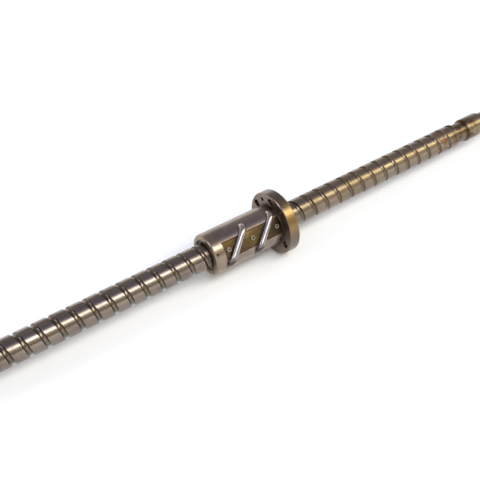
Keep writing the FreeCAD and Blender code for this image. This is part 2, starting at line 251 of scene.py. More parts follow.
# %% [markdown]
# ## Ground and tarnished screw steel
# The screw was ground bright, then used and stored. Its lands still mirror the light, with fine
# grinding lines around them. Old oil has turned the right half golden and a little duller. The groove is
# darkened to bronze, partly for oil and partly as painted shade, and its walls get a darker painted shade.
# Rust has started on the last land, and the neck and the start of the collar are stained. One colour all
# over would look like plastic, so masks along the axis and over the distance from it put each of these where
# it belongs.

# %% Finish of the screw
def screw_finish():
    """Ground steel with the golden film, a groove darkened for oil and painted shade, rust and stains."""
    finish, tree, shader, where = new_finish("screw_steel", 1.0)
    x = along_axis(tree, where)
    radius = from_axis(tree, where)
    cloud = speckle(tree, where, 26, 5, 0.6)
    small = speckle(tree, where, 210, 5, 0.65)
    lines = speckle(tree, where, 1.0, 3, 0.7, (5200, 60, 60))
    steel = tinted(tree, mask(tree, cloud, 0.38, 0.70), (0.240, 0.198, 0.162, 1), (0.178, 0.144, 0.120, 1))
    steel = tinted(tree, both(tree, mask(tree, small, 0.55, 0.78), 0.40), steel, (0.090, 0.066, 0.054, 1))
    gold = both(tree, mask(tree, x, -0.06, 0.12), mask(tree, cloud, 0.22, 0.50))
    steel = tinted(tree, both(tree, gold, 0.34), steel, (0.290, 0.208, 0.090, 1))
    # The groove's bronze is partly oil and partly painted shade.
    groove = mask(tree, radius, 0.01555, 0.01525)
    steel = tinted(tree, both(tree, groove, 0.45), steel, (0.105, 0.076, 0.048, 1))
    # Painted shade on the groove's walls, darker still.
    wall_shade = both(tree, groove, mask(tree, radius, 0.0133, 0.0148))
    steel = tinted(tree, both(tree, wall_shade, 0.55), steel, (0.040, 0.027, 0.021, 1))
    last_land = both(tree, mask(tree, x, 0.276, 0.284), mask(tree, x, 0.302, 0.294))
    rust = both(tree, last_land, mask(tree, speckle(tree, where, 120, 6, 0.65), 0.46, 0.58))
    flecks = mask(tree, speckle(tree, where, 170, 5, 0.7), 0.64, 0.72)
    flecks = both(tree, mask(tree, x, 0.05, 0.32), flecks)
    rust = both(tree, rust, both(tree, flecks, 0.8), "MAXIMUM")
    steel = tinted(tree, both(tree, rust, 0.85), steel, (0.215, 0.098, 0.052, 1))
    stain = both(tree, mask(tree, x, 0.296, 0.312), mask(tree, x, 0.358, 0.346))
    stain = both(tree, stain, mask(tree, speckle(tree, where, 75, 5, 0.62), 0.44, 0.56))
    steel = tinted(tree, both(tree, stain, 0.8), steel, (0.090, 0.046, 0.018, 1))
    dull = both(tree, both(tree, cloud, 0.14), 0.14, "ADD")
    dull = both(tree, dull, both(tree, gold, 0.07), "ADD")
    dull = both(tree, dull, both(tree, small, 0.10), "ADD")
    dull = both(tree, dull, both(tree, rust, 0.35), "ADD")
    height = both(tree, both(tree, lines, 0.6), both(tree, rust, 1.5), "ADD")
    connect(tree, shader, steel, dull, height, 0.16, 0.00003)
    return finish


screw_steel = screw_finish()
print("finish:", screw_steel.name)

# %% [markdown]
# ## The screw
# The groove is a round trough that climbs one lead a turn. A texture could fake it, but its edge is
# the outline of the whole object, so it is real geometry: one profile over a lead is carried along
# the helix, and each step's last point is joined to the first point of the same angle one turn
# further. The strip runs past both ends of the thread and is cut square there.

# %% Thread
LEAD = 20.0
SCREW_R = 15.6
BALL_CIRCLE = 16.3
GROOVE_R = 3.08
GROOVE_ARC = 68
GROOVE_PARTS = 12
FIRST_LEG = -8.4
THREAD = (-354.0, 317.0)
TURN_STEPS = 96
SPARE_TURNS = 1.2


def lead_profile():
    """(offset along X, radius) over one lead, starting in the middle of a land."""
    # The groove's broken edge comes first, then points that keep the shading of the land flat.
    edge = [(3.02, 15.43), (3.14, 15.55), (3.36, SCREW_R), (3.8, SCREW_R), (5.4, SCREW_R), (7.6, SCREW_R)]
    trough = []
    for a in np.radians(np.linspace(-GROOVE_ARC, GROOVE_ARC, GROOVE_PARTS)):
        trough.append((GROOVE_R * math.sin(a), BALL_CIRCLE - GROOVE_R * math.cos(a)))
    land = [(-LEAD / 2, SCREW_R)] + [(-x, r) for x, r in reversed(edge)]
    return land + trough + edge


def thread_strip():
    """Points and faces of the profile carried along the helix, past both ends of the thread."""
    profile = lead_profile()
    count = len(profile)
    first = math.floor((THREAD[0] - FIRST_LEG) / LEAD - SPARE_TURNS) * TURN_STEPS
    last = math.ceil((THREAD[1] - FIRST_LEG) / LEAD + SPARE_TURNS) * TURN_STEPS
    steps = np.arange(first, last + TURN_STEPS + 1)
    turn = 2 * np.pi * steps / TURN_STEPS
    offset, radius = np.array(profile).T
    x = FIRST_LEG + LEAD * steps[:, None] / TURN_STEPS + offset
    y, z = radius * np.cos(turn)[:, None], radius * np.sin(turn)[:, None]
    points = np.stack((x, y, z), -1).reshape(-1, 3)
    faces = []
    for s in range(last - first):
        near, far = s * count, (s + 1) * count
        for i in range(count - 1):
            faces.append((near + i, near + i + 1, far + i + 1, far + i))
        near_next, far_next = near + TURN_STEPS * count, far + TURN_STEPS * count
        faces.append((near + count - 1, near_next, far_next, far + count - 1))
    return points, faces


screw = mesh_object("screw_ground", *thread_strip())
work = bmesh.new()
work.from_mesh(screw.data)
for end, outward in ((THREAD[0], -1), (THREAD[1], 1)):
    everything = work.verts[:] + work.edges[:] + work.faces[:]
    cut = bmesh.ops.bisect_plane(
        work, geom=everything, plane_co=(end * 0.001, 0, 0), plane_no=(outward, 0, 0), clear_outer=True)
    rim = [part for part in cut["geom_cut"] if isinstance(part, bmesh.types.BMEdge)]
    bmesh.ops.edgeloop_fill(work, edges=rim)
loose = [v for v in work.verts if not v.link_faces]
bmesh.ops.delete(work, geom=loose, context="VERTS")
work.to_mesh(screw.data)
work.free()
print("the thread has", len(screw.data.polygons), "faces")

# %% [markdown]
# ## Neck, collar and bearing seats
# Beyond the thread the right end has a thinner neck and a collar as wide as the screw, and each end has
# a plain seat for a bearing. Both seats lie outside the photograph, so they are guesses. All of it is
# turned, so two rows of corners are spun. Their first corners lie inside the thread, so no gap shows.

# %% Neck, collar and journals
NECK_R = 13.0
JOURNAL_R = 12.5
NECK_END = 337
COLLAR_END = 369
LEFT_TIP, RIGHT_TIP = -394, 409
COLLAR_SLOPE, COLLAR_STEP = 2, 1.5
TIP_CHAMFER = 1.2
INSIDE = 1.5
END_EASE = 1.2
right_end = [
    (THREAD[1] - INSIDE, 0), (THREAD[1] - INSIDE, NECK_R), (NECK_END, NECK_R),
    (NECK_END, SCREW_R - COLLAR_STEP), (NECK_END + COLLAR_SLOPE, SCREW_R),
    (COLLAR_END, SCREW_R), (COLLAR_END, JOURNAL_R),
    (RIGHT_TIP - TIP_CHAMFER, JOURNAL_R), (RIGHT_TIP, JOURNAL_R - TIP_CHAMFER), (RIGHT_TIP, 0),
]
left_end = [
    (THREAD[0] + INSIDE, 0), (THREAD[0] + INSIDE, JOURNAL_R),
    (LEFT_TIP + TIP_CHAMFER, JOURNAL_R), (LEFT_TIP, JOURNAL_R - TIP_CHAMFER), (LEFT_TIP, 0),
]
ends = []
for name, corners in (("right_end", right_end), ("left_end", left_end)):
    ends.append(welded(mesh_object(name, *spun(eased(corners, END_EASE), steps=128))))
with bpy.context.temp_override(active_object=screw, selected_editable_objects=[screw] + ends):
    bpy.ops.object.join()
dress(screw, "screw", "screw_shaft", screw_steel)

# %% [markdown]
# ## Turned nut steel, darkened by oil and painted shade
# The nut is duller and browner than the screw. Faint turning lines run round it, fingers and oil
# have left clouds, and a painted golden highlight lies on the upper front of the flange's rim. Painted
# shade darkens the corner between body and flange, and the ways where the tubes dive into the nut.

# %% Finish of the nut
def nut_finish():
    """Turned steel with a darker flange, a painted golden highlight on the rim and painted shade laid over
    it.
    """
    finish, tree, shader, where = new_finish("nut_steel", 1.0)
    axis = put(tree, "SeparateXYZ", {0: where})
    x, y, z = axis.outputs[0], axis.outputs[1], axis.outputs[2]
    radius = from_axis(tree, where)
    cloud = speckle(tree, where, 34, 5, 0.6)
    small = speckle(tree, where, 260, 5, 0.65)
    lines = speckle(tree, where, 1.0, 3, 0.7, (4200, 45, 45))
    steel = tinted(tree, mask(tree, cloud, 0.36, 0.68), (0.300, 0.242, 0.195, 1), (0.220, 0.174, 0.144, 1))
    steel = tinted(tree, both(tree, mask(tree, small, 0.54, 0.78), 0.4), steel, (0.120, 0.088, 0.070, 1))
    flange = mask(tree, radius, 0.0262, 0.0275)
    steel = tinted(tree, both(tree, flange, 0.55), steel, (0.165, 0.128, 0.102, 1))
    end_ring = both(tree, mask(tree, x, -0.0830, -0.0855), mask(tree, cloud, 0.25, 0.5))
    steel = tinted(tree, both(tree, end_ring, 0.30), steel, (0.300, 0.222, 0.128, 1))
    rim = both(tree, mask(tree, x, 0.0008, 0.0016), mask(tree, radius, 0.0385, 0.0395))
    steel = tinted(tree, both(tree, rim, 0.45), steel, (0.120, 0.090, 0.058, 1))
    # Painted highlight: the rim's upper front, which faces the lamps, is tinted golden.
    rim_highlight = both(tree, mask(tree, z, 0.000, 0.022), mask(tree, y, 0.000, -0.016))
    rim_highlight = both(tree, both(tree, rim, rim_highlight), mask(tree, cloud, 0.25, 0.5))
    steel = tinted(tree, both(tree, rim_highlight, 0.70), steel, (0.300, 0.182, 0.058, 1))
    # Painted shade in the corner between body and flange.
    corner = both(tree, mask(tree, x, -0.007, -0.0004), mask(tree, radius, 0.0290, 0.0262))
    steel = tinted(tree, both(tree, corner, 0.7), steel, (0.060, 0.040, 0.034, 1))
    # Painted shade round the ways where the lower legs of the tubes dive into the nut.
    dives = [(-38.4, -17.0, 18.5), (-78.4, -17.0, 18.5), (-38.8, -20, 16), (-78.8, -20, 16)]
    ways = from_spots(tree, where, dives)
    ways = mask(tree, both(tree, ways, both(tree, small, 0.004), "ADD"), 0.0078, 0.0056)
    steel = tinted(tree, both(tree, ways, 0.85), steel, (0.050, 0.035, 0.028, 1))
    dull = both(tree, both(tree, cloud, 0.14), 0.17, "ADD")
    dull = both(tree, dull, both(tree, small, 0.12), "ADD")
    connect(tree, shader, steel, dull, lines, 0.18, 0.00003)
    return finish


nut_steel = nut_finish()
print("finish:", nut_steel.name)

# %% [markdown]
# ## The path of a return tube
# Each tube rises out of the ball track, bends over, crosses the flat at a slant and dives back into
# the track one and a half turns further. The same path serves three times: for the tube itself, for
# the way milled for it in the nut's shoulder, and for the balls inside it.

# %% Tube path and a swept round
FLAT_HEIGHT = 21.0
TUBE_R = 4.0
TUBE_BORE_R = 3.0
BEND_R = 8.0
TIP_HEIGHT = 10.697
CIRCUIT = 30.0
CIRCUIT_STEP = 40.0


def tube_path(number, bend_parts=12):
    """Points on the middle line from one leg's tip to the other's."""
    near = Vector((FIRST_LEG - number * CIRCUIT_STEP, BALL_CIRCLE, 0))
    far = Vector((near.x - CIRCUIT, -BALL_CIRCLE, 0))
    along = (far - near).normalized()
    up = Vector((0, 0, 1))
    low = FLAT_HEIGHT + TUBE_R - BEND_R
    rising, falling = [near + up * TIP_HEIGHT], [far + up * TIP_HEIGHT]
    for k in range(bend_parts + 1):
        turn = math.pi / 2 * k / bend_parts
        over = along * (BEND_R * (1 - math.cos(turn)))
        height = up * (low + BEND_R * math.sin(turn))
        rising.append(near + over + height)
        falling.append(far - over + height)
    return rising + falling[::-1]


def swept(path, radius, sides=40, inner=None):
    """A round swept along a path that lies in one plane; with an inner radius it is a tube."""
    flat = (path[1] - path[0]).cross(path[-1] - path[0]).normalized()
    points, faces = [], []
    for i, middle in enumerate(path):
        along = (path[min(i + 1, len(path) - 1)] - path[max(i - 1, 0)]).normalized()
        out = flat.cross(along)
        for r in ([radius, inner] if inner else [radius]):
            for k in range(sides):
                turn = 2 * math.pi * k / sides
                points.append(middle + flat * (r * math.cos(turn)) + out * (r * math.sin(turn)))
    rings = 2 if inner else 1
    for i in range(len(path) - 1):
        for ring in range(rings):
            a, b = (i * rings + ring) * sides, ((i + 1) * rings + ring) * sides
            for k in range(sides):
                j = (k + 1) % sides
                faces.append((a + k, a + j, b + j, b + k))
    last = (len(path) - 1) * rings * sides
    for start in (0, last):
        if inner:
            for k in range(sides):
                j = (k + 1) % sides
                faces.append((start + k, start + j, start + sides + j, start + sides + k))
        else:
            faces.append(tuple(range(start, start + sides)))
    return points, faces


tube_line = tube_path(0)
tube_length = sum((b - a).length for a, b in zip(tube_line, tube_line[1:]))
print("a return tube is", round(tube_length, 1), "mm long")

# %% [markdown]
# ## The nut
# Body and flange are one piece of steel, with a pocket for a wiper in each end. It could be put
# together from cylinders, but a lathe makes it as one outline, so the blank is spun the same way:
# a closed row of corners gives a ring with the bore already in it.

# %% Blank
NUT_R = 25.5
NUT_END = -96
NUT_CHAMFER = 1.5
NUT_EASE = 0.25
FLANGE_R = 40.0
FLANGE_FACE = 13
SEAT_CHAMFER = 1.0
FACE_CHAMFER = 0.6
BORE_R = 16.1
POCKET_R = 19.5
POCKET_DEPTH = 7.5
blank_corners = [
    (NUT_END + POCKET_DEPTH, BORE_R), (NUT_END + POCKET_DEPTH, POCKET_R), (NUT_END, POCKET_R),
    (NUT_END, NUT_R - NUT_CHAMFER), (NUT_END + NUT_CHAMFER, NUT_R), (0, NUT_R),
    (0, FLANGE_R - SEAT_CHAMFER), (SEAT_CHAMFER, FLANGE_R),
    (FLANGE_FACE - FACE_CHAMFER, FLANGE_R), (FLANGE_FACE, FLANGE_R - FACE_CHAMFER), (FLANGE_FACE, POCKET_R),
    (FLANGE_FACE - POCKET_DEPTH, POCKET_R), (FLANGE_FACE - POCKET_DEPTH, BORE_R),
]
nut = mesh_object("nut_machined", *spun(eased(blank_corners, NUT_EASE, closed=True), steps=200, closed=True))
print("the nut's blank has", len(nut.data.polygons), "faces")

# %% [markdown]
# ## What the mill and the drill take away
# The flat, the ways for the tubes, four bolt holes, the grease hole and the grub screw's hole are cut
# into the blank. Each cutter is a closed shape that reaches past the surface it opens. Those of the
# flat and of the holes flare a little there, so the edge becomes a small chamfer without a bevel step,
# which would also touch edges that stay sharp.

# %% Cutters
def upright(corners, x, y, steps=48):
    """(height, radius) corners spun about a vertical line."""
    points, faces = spun(corners, steps)
    return [(x + py, y + pz, px) for px, py, pz in points], faces


def lying(corners, y, z, steps=64):
    """(x, radius) corners spun about a line along X."""
    points, faces = spun(corners, steps)
    return [(px, y + py, z + pz) for px, py, pz in points], faces


FLAT_LEFT, FLAT_RIGHT, FLAT_HALF = -82.5, -1.5, 10.4


def flat_cutter(left=FLAT_LEFT, right=FLAT_RIGHT, half=FLAT_HALF, top=34.0, flare=0.25):
    """The flat's space: straight walls that open a little just below the nut's round."""
    edge = math.sqrt(NUT_R ** 2 - half ** 2) - flare
    levels = ((FLAT_HEIGHT, 0), (edge, 0), (top, top - edge))
    points = []
    for height, out in levels:
        points += [(left, -half - out, height), (right, -half - out, height),
                   (right, half + out, height), (left, half + out, height)]
    faces = [(0, 1, 2, 3), (8, 9, 10, 11)]
    for low in (0, 4):
        faces += [(low + i, low + (i + 1) % 4, low + 4 + (i + 1) % 4, low + 4 + i) for i in range(4)]
    return points, faces


WAY_ROOM = 0.12
BOLT_CIRCLE_R = 31.5
BOLT_R = 4.5
BOLT_ANGLES = (30, 150, 210, 330)
HOLE_CHAMFER = 0.5
HOLE_FLARE = 1.3
cutters = [mesh_object("flat_space", *flat_cutter())]
for number in range(2):
    cutters.append(mesh_object(f"tube_way_{number}", *swept(tube_path(number), TUBE_R + WAY_ROOM)))
bolt_start, bolt_end = HOLE_CHAMFER, FLANGE_FACE - HOLE_CHAMFER
bolt_hole = [
    (bolt_start - HOLE_FLARE, 0), (bolt_start - HOLE_FLARE, BOLT_R + HOLE_FLARE), (bolt_start, BOLT_R),
    (bolt_end, BOLT_R), (bolt_end + HOLE_FLARE, BOLT_R + HOLE_FLARE), (bolt_end + HOLE_FLARE, 0),
]
for angle in BOLT_ANGLES:
    turn = math.radians(angle)
    hole = lying(bolt_hole, BOLT_CIRCLE_R * math.cos(turn), BOLT_CIRCLE_R * math.sin(turn))
    cutters.append(welded(mesh_object(f"bolt_hole_{angle}", *hole)))
GREASE_R = 2.5
GREASE_DEPTH = 10
GREASE_CHAMFER = 0.4
GREASE_FLARE = 1.2
DRILL_POINT = 1.4
grease_mouth = GREASE_CHAMFER - GREASE_FLARE
grease = [
    (grease_mouth, 0), (grease_mouth, GREASE_R + GREASE_FLARE), (GREASE_CHAMFER, GREASE_R),
    (GREASE_DEPTH, GREASE_R), (GREASE_DEPTH + DRILL_POINT, 0),
]
cutters.append(welded(mesh_object("grease_hole", *lying(grease, BOLT_CIRCLE_R, 0))))
GRUB_X = -91.7
GRUB_HOLE_R = 1.55
GRUB_HOLE_FLOOR = 18
GRUB_CHAMFER = 0.25
GRUB_FLARE = 1.25
grub_top = NUT_R - GRUB_CHAMFER
grub_hole = [
    (GRUB_HOLE_FLOOR, 0), (GRUB_HOLE_FLOOR, GRUB_HOLE_R), (grub_top, GRUB_HOLE_R),
    (grub_top + GRUB_FLARE, GRUB_HOLE_R + GRUB_FLARE), (grub_top + GRUB_FLARE, 0),
]
cutters.append(welded(mesh_object("grub_hole", *upright(grub_hole, GRUB_X, 0))))
print("cutters:", [cutter.name for cutter in cutters])

# %% [markdown]
# ## Cutting
# One boolean modifier for each cutter takes it away from the blank. The evaluated result is kept as the
# nut's own mesh, because the modifiers would need the cutters to stay in the scene.

# %% Mill and drill
for cutter in cutters:
    step = nut.modifiers.new(cutter.name, "BOOLEAN")
    step.operation = "DIFFERENCE"
    step.solver = "EXACT"
    step.object = cutter
bpy.context.view_layer.update()
machined = bpy.data.meshes.new_from_object(nut.evaluated_get(bpy.context.evaluated_depsgraph_get()))
nut.modifiers.clear()
nut.data = machined
for cutter in cutters:
    bpy.data.objects.remove(cutter)
dress(nut, "nut", "nut_body", nut_steel, sharp=28)

# %% [markdown]
# ## Bright drawn tubes
# The return tubes are thin drawn steel and the brightest thing on the nut. Drawing leaves faint
# scratches and fingers leave small dull spots. The upper bends get a lighter, warm painted highlight,
# and the lower bends a dark painted shade.

# %% Finish and shape of the return tubes
def tube_finish():
    """Drawn steel with a painted highlight on the upper bends and painted shade on the lower bends."""
    finish, tree, shader, where = new_finish("tube_steel", 1.0)
    cloud = speckle(tree, where, 90, 5, 0.6)
    small = speckle(tree, where, 520, 4, 0.6)
    across = both(tree, across_flat(tree, where), both(tree, cloud, 0.004), "ADD")
    steel = tinted(tree, mask(tree, cloud, 0.42, 0.72), (0.340, 0.312, 0.325, 1), (0.250, 0.220, 0.218, 1))
    steel = tinted(tree, both(tree, mask(tree, small, 0.6, 0.75), 0.25), steel, (0.16, 0.13, 0.11, 1))
    # Painted highlight: the upper bends are tinted lighter and warm.
    upper_bend_sheen = mask(tree, across, 0.009, 0.016)
    steel = tinted(tree, both(tree, upper_bend_sheen, 0.75), steel, (0.430, 0.370, 0.310, 1))
    # Painted shade: the lower bends are tinted dark.
    lower_bend_shade = mask(tree, across, -0.0095, -0.0135)
    steel = tinted(tree, both(tree, lower_bend_shade, 0.9), steel, (0.060, 0.042, 0.034, 1))
    dull = both(tree, both(tree, cloud, 0.20), 0.17, "ADD")
    connect(tree, shader, steel, dull, small, 0.03, 0.00002)
    return finish


tube_steel = tube_finish()
for number in range(2):
    tube_points, tube_faces = swept(tube_path(number), TUBE_R, sides=48, inner=TUBE_BORE_R)
    tube = mesh_object(f"bent_tube_{number + 1}", tube_points, tube_faces)
    dress(tube, "nut", f"return_tube_{number + 1}", tube_steel, sharp=40)

# %% [markdown]
# ## Oiled clamp plates
# Three thin plates lie in the flat and hold the tubes down. Oil has baked on them to an olive
# brown. A dark painted shade runs along their edges, for the gap beside the flat's walls, and that
# dark line is what draws the flat's outline.

# %% Finish of the clamp plates
def clamp_finish():
    """Baked oil, olive on the faces, with painted shade along the edges and toward the flange."""
    finish, tree, shader, where = new_finish("clamp_steel", 0.85)
    cloud = speckle(tree, where, 75, 5, 0.62)
    small = speckle(tree, where, 420, 4, 0.6)
    brushed = speckle(tree, where, 1.0, 3, 0.6, (500, 2600, 2600))
    olive = tinted(tree, mask(tree, cloud, 0.35, 0.65), (0.132, 0.088, 0.033, 1), (0.080, 0.052, 0.023, 1))
    olive = tinted(tree, both(tree, mask(tree, small, 0.55, 0.75), 0.6), olive, (0.060, 0.036, 0.018, 1))
    across = put(tree, "Math", {0: across_flat(tree, where)}, operation="ABSOLUTE").outputs[0]
    # Painted shade along the plates' edges, in the gap beside the flat's walls.
    edge = mask(tree, both(tree, across, both(tree, cloud, 0.002), "ADD"), 0.0096, 0.0106)
    olive = tinted(tree, both(tree, edge, 0.85), olive, (0.065, 0.024, 0.014, 1))
    # Painted shade, darker toward the flange.
    shade = mask(tree, along_axis(tree, where), -0.026, -0.006)
    olive = tinted(tree, both(tree, shade, 0.6), olive, (0.040, 0.028, 0.016, 1))
    dull = both(tree, both(tree, cloud, 0.25), 0.30, "ADD")
    connect(tree, shader, olive, dull, brushed, 0.25, 0.00004)
    return finish


clamp_steel = clamp_finish()
print("finish:", clamp_steel.name)

# %% [markdown]
# ## Plates between the tubes
# The tubes cross the flat at a slant, so the sides of the plates beside them are slanted too. Drawing
# them by eye would leave uneven gaps. Each such corner is worked out from the tube's own slope and one
# small gap, and a fine bevel breaks every edge.

# %% Shape of the clamp plates
PLATE_TOP = 23.2
PLATE_GAP = 0.2
HALF_PLATE = FLAT_HALF - PLATE_GAP
PLATE_EDGE = 0.00028
SLOPE = CIRCUIT / 2 / BALL_CIRCLE
TUBE_EDGE = (TUBE_R + PLATE_GAP) * math.hypot(1, SLOPE)
PLATE_LEFT, PLATE_RIGHT = FLAT_LEFT + PLATE_GAP, FLAT_RIGHT - PLATE_GAP


def beside(number, side, across):
    """A plate corner on the line beside a tube."""
    middle = FIRST_LEG - number * CIRCUIT_STEP - CIRCUIT / 2
    return middle + side * TUBE_EDGE + across * SLOPE * HALF_PLATE, across * HALF_PLATE


PLATES = {
    "left": [(PLATE_LEFT, -HALF_PLATE), (PLATE_LEFT, HALF_PLATE), beside(1, -1, 1), beside(1, -1, -1)],
    "middle": [beside(1, 1, -1), beside(1, 1, 1), beside(0, -1, 1), beside(0, -1, -1)],
    "right": [beside(0, 1, -1), beside(0, 1, 1), (PLATE_RIGHT, HALF_PLATE), (PLATE_RIGHT, -HALF_PLATE)],
}


def plate(corners, low, high):
    """Points and faces of a flat plate between two heights."""
    count = len(corners)
    points = [(x, y, low) for x, y in corners] + [(x, y, high) for x, y in corners]
    faces = [tuple(range(count)), tuple(range(count, 2 * count))]
    faces += [(i, (i + 1) % count, count + (i + 1) % count, count + i) for i in range(count)]
    return points, faces


for name, corners in PLATES.items():
    strip = mesh_object(f"clamp_plate_{name}", *plate(corners, FLAT_HEIGHT, PLATE_TOP))
    work = bmesh.new()
    work.from_mesh(strip.data)
    bmesh.ops.bevel(work, geom=work.edges[:], offset=PLATE_EDGE, segments=2, affect="EDGES", profile=0.5)
    work.to_mesh(strip.data)
    work.free()
    dress(strip, "nut", f"tube_clamp_{name}", clamp_steel, sharp=40)

# %% [markdown]
# ## Socket screws
# Three small screws hold the plates, and a grub screw sits over the left wiper. The heads are small
# bright spots on the flat, while their sockets and the grub screw are darkened with painted shade. One
# finish serves them all: the distance to the nearest socket and the place along the axis tell it where
# the painted shade goes.

# %% Finish of the screws
SCREW_PLACES = (-76, -42, -7)
SOCKET_MIDDLE = 24.5


def fastener_finish():
    """Bright steel, with painted shade in the sockets and on the grub screw."""
    finish, tree, shader, where = new_finish("fastener_steel", 1.0)
    cloud = speckle(tree, where, 300, 4, 0.6)
    steel = tinted(tree, mask(tree, cloud, 0.42, 0.7), (0.50, 0.47, 0.43, 1), (0.25, 0.22, 0.18, 1))
    grub = mask(tree, along_axis(tree, where), -0.086, -0.088)
    sockets = from_spots(tree, where, [(x, 0, SOCKET_MIDDLE) for x in SCREW_PLACES])
    # Painted shade in the sockets and on the grub screw down in its hole.
    recess_shade = both(tree, grub, mask(tree, sockets, 0.0021, 0.0017), "MAXIMUM")
    steel = tinted(tree, both(tree, recess_shade, 0.9), steel, (0.030, 0.024, 0.020, 1))
    dull = both(tree, both(tree, cloud, 0.25), 0.12, "ADD")
    connect(tree, shader, steel, dull, cloud, 0.15, 0.00003)
    return finish


fastener_steel = fastener_finish()
print("finish:", fastener_steel.name)

# %% [markdown]
# ## Heads and sockets from rings
# A socket head is a short knurled drum with a chamfer and a six-sided hole. Rings with equal numbers of
# points can change from round to hexagonal, so the hole needs no boolean: two of the rings simply run
# along a hexagon.

# %% Clamp screws
RING = 72


def ring_points(radius, height, sides=0, knurl=0.0):
    """One ring: a circle, a knurled circle or, with sides, a polygon of that corner radius."""
    ring = []
    for k in range(RING):
        turn = 2 * math.pi * k / RING
        r = radius - knurl * (k % 2)
        if sides:
            part = math.pi / sides
            r = radius * math.cos(part) / math.cos((turn + part) % (2 * part) - part)
        ring.append((r * math.cos(turn), r * math.sin(turn), height))
    return ring


def stacked(rings):
    """Points and faces through a stack of rings, closed at both ends."""
    points = [p for ring in rings for p in ring]
    faces = [tuple(range(RING)), tuple(range(len(points) - RING, len(points)))]
    for i in range(len(rings) - 1):
        a, b = i * RING, (i + 1) * RING
        faces += [(a + k, a + (k + 1) % RING, b + (k + 1) % RING, b + k) for k in range(RING)]
    return points, faces


SHANK_R = 1.5
SHANK_LENGTH = 5.0
HEAD_R = 2.8
HEAD_HEIGHT = 2.4
HEAD_CHAMFER = 0.35
SOCKET_R = 1.25
SOCKET_DEPTH = 1.2
SOCKET_TIP_R = 0.4
KNURL = 0.07
HEX = 6


def socket_screw(top):
    """A shank, a knurled head with a chamfer and a hexagonal socket."""
    tip = top - SHANK_LENGTH
    crown = top + HEAD_HEIGHT
    return stacked([
        ring_points(SHANK_R - 0.3, tip), ring_points(SHANK_R, tip + 0.4), ring_points(SHANK_R, top),
        ring_points(HEAD_R - 0.1, top), ring_points(HEAD_R, top + 0.1, knurl=KNURL),
        ring_points(HEAD_R, crown - 0.45, knurl=KNURL), ring_points(HEAD_R - 0.02, crown - HEAD_CHAMFER),
        ring_points(HEAD_R - HEAD_CHAMFER, crown), ring_points(SOCKET_R + 0.25, crown),
        ring_points(SOCKET_R + 0.07, crown - 0.07), ring_points(SOCKET_R, crown - 0.2, HEX),
        ring_points(SOCKET_R, crown - SOCKET_DEPTH, HEX),
        ring_points(SOCKET_TIP_R, crown - SOCKET_DEPTH - 0.2),
    ])


points, faces = [], []
for x in SCREW_PLACES:
    one_points, one_faces = socket_screw(PLATE_TOP)
    faces += [tuple(i + len(points) for i in face) for face in one_faces]
    points += [(px + x, py, pz) for px, py, pz in one_points]
socket_screws = mesh_object("socket_screws", points, faces)
dress(socket_screws, "nut", "clamp_screws", fastener_steel, sharp=40)

# %% [markdown]
# ## Grub screw
# A grub screw has no head. It is a short pin with a socket in its end and lies below the nut's surface,
# where it shows as a dark dot. The same rings make it.

# %% Grub screw
GRUB_TOP = 24.3
GRUB_LENGTH = 4.0
GRUB_R = 1.45
GRUB_SOCKET_R = 1.12
GRUB_TIP_R = 0.9
grub_tip = GRUB_TOP - GRUB_LENGTH
grub_points, grub_faces = stacked([
    ring_points(GRUB_TIP_R, grub_tip), ring_points(GRUB_R, grub_tip + 0.5),
    ring_points(GRUB_R, GRUB_TOP - 0.2), ring_points(GRUB_R - 0.15, GRUB_TOP),
    ring_points(GRUB_SOCKET_R + 0.08, GRUB_TOP - 0.02), ring_points(GRUB_SOCKET_R, GRUB_TOP - 0.1, HEX),
    ring_points(GRUB_SOCKET_R, GRUB_TOP - SOCKET_DEPTH, HEX),
    ring_points(SOCKET_TIP_R, GRUB_TOP - SOCKET_DEPTH - 0.15),
])
grub_points = [(x + GRUB_X, y, z) for x, y, z in grub_points]
grub = mesh_object("grub_screw", grub_points, grub_faces)
dress(grub, "nut", "wiper_grub_screw", fastener_steel, sharp=40)

# %% [markdown]
# ## Wipers
# A plastic ring in each end of the nut scrapes dirt off the screw. It is dark with oil. Its front
# has a raised lip next to the screw and a shallow step, which is all that shows of it.

# %% Finish and shape of the wipers
def wiper_finish():
    """Dark, oily plastic with paler clouds."""
    finish, tree, shader, where = new_finish("wiper_plastic", 0.0)
    cloud = speckle(tree, where, 120, 5, 0.6)
    small = speckle(tree, where, 900, 3, 0.6)
    paler = mask(tree, cloud, 0.35, 0.65)
    plastic = tinted(tree, paler, (0.060, 0.047, 0.028, 1), (0.110, 0.085, 0.045, 1))
    dull = both(tree, both(tree, cloud, 0.3), 0.28, "ADD")
    connect(tree, shader, plastic, dull, small, 0.25, 0.00006)
    return finish


wiper_plastic = wiper_finish()
WIPER_HOLE_R = 16.0
WIPER_R = 19.2
WIPER_THICKNESS = 6.2
WIPER_INSET = 1.0
WIPER_EASE = 0.15
LIP_R = 16.6
STEP_FROM, STEP_TO, STEP_DEPTH = 17.1, 18.6, 0.7
RIM_FROM, RIM_DEPTH = 18.9, 0.2
ring_corners = [
    (0, WIPER_HOLE_R), (0, LIP_R), (STEP_DEPTH, STEP_FROM), (STEP_DEPTH, STEP_TO),
    (RIM_DEPTH, RIM_FROM), (RIM_DEPTH, WIPER_R),
    (WIPER_THICKNESS, WIPER_R), (WIPER_THICKNESS, WIPER_HOLE_R),
]
for side, place, facing in (("left", NUT_END + WIPER_INSET, 1), ("right", FLANGE_FACE - WIPER_INSET, -1)):
    corners = [(place + facing * x, r) for x, r in ring_corners]
    outline = eased(corners, WIPER_EASE, closed=True)
    ring = mesh_object(f"wiper_ring_{side}", *spun(outline, steps=128, closed=True))
    dress(ring, "wipers", f"wiper_{side}", wiper_plastic, sharp=40)

# %% [markdown]
# ## Balls
# The balls hide inside the nut, yet they are what makes the thing work. They are the cleanest steel
# here, because they roll in oil all the time, so a pale metal with faint clouds is enough.

